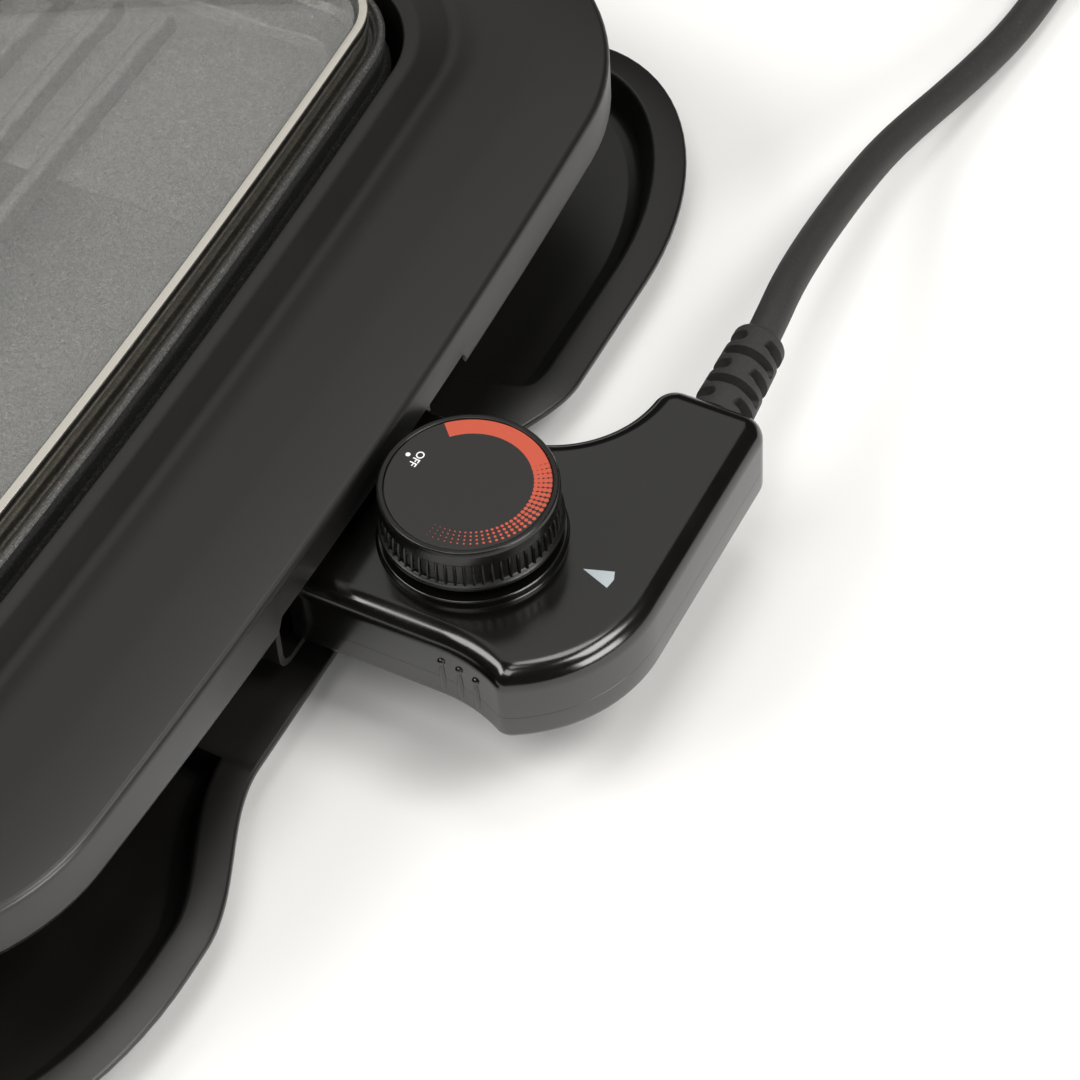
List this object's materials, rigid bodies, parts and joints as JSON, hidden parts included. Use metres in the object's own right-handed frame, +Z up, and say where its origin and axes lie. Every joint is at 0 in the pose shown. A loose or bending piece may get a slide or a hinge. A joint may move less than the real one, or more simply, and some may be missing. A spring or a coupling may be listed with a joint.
{
  "type": "electric indoor grill with lid",
  "caption": "Countertop electric grill: ribbed plate in a raised housing over a drip tray, lift-off glass lid, plug-in heat controller with dial and coiled cord.",
  "frame": {"origin": "on the table, under the middle of the grill with its controller plugged in and without the cord", "axes": "+Z up; +X towards the end where the controller plugs in; +Y towards the side where the cord leaves the controller"},
  "size_m": [0.6172, 0.5403, 0.1066],
  "materials": {
    "moulding": "matt black moulded plastic, lightly textured",
    "coating": "black non-stick coating on cast aluminium",
    "steel": "plain bright steel",
    "sheath": "oxidised steel sheath of the heating element",
    "ceramic": "off-white ceramic",
    "glass": "clear tempered glass",
    "rubber": "black rubber",
    "phenolic": "dark brown phenolic moulding",
    "brass": "plain brass",
    "print": "dark grey printed disc"
  },
  "bodies": {
    "base": {"drip_tray": "moulding", "tray_feet": "rubber"},
    "grill": {"housing": "moulding", "terminal_guard": "moulding", "guard_screws": "steel", "grill_plate": "coating", "plate_screws": "steel", "heating_element": "sheath", "element_clips": "steel", "clip_screws": "steel", "terminal_pins": "steel", "pin_insulators": "ceramic"},
    "lid": {"lid_glass": "glass", "lid_rim": "steel", "lid_knob": "moulding", "knob_seat": "steel", "knob_screw": "steel", "vent_eyelet": "steel"},
    "controller": {"controller_top_shell": "moulding", "controller_bottom_shell": "moulding", "contact_nose": "phenolic", "contact_sleeves": "brass", "sensor_probe": "steel", "thermostat_switch": "phenolic", "controller_screws": "steel", "strain_relief": "rubber", "cord_lead": "rubber", "cord_coil": "rubber", "cord_tail": "rubber", "cord_tie": "rubber", "mains_plug": "rubber", "plug_pins": "steel"},
    "dial": {"dial_knob": "moulding", "dial_label": "print", "dial_spindle": "steel"}
  },
  "joints": [
    {"name": "housing_lift", "type": "slide", "parent": "base", "child": "grill", "axis": [0, 0, 1], "range_m": [0, 0.12]},
    {"name": "lid_lift", "type": "slide", "parent": "grill", "child": "lid", "axis": [0, 0, 1], "range_m": [0, 0.15]},
    {"name": "controller_pull", "type": "slide", "parent": "grill", "child": "controller", "axis": [1, 0, 0], "range_m": [0, 0.1]},
    {"name": "dial_turn", "type": "hinge", "parent": "controller", "child": "dial", "pos_m": [0.22, 0, 0.05], "axis": [0, 0, 1], "range_deg": [-122, 189]}
  ]
}
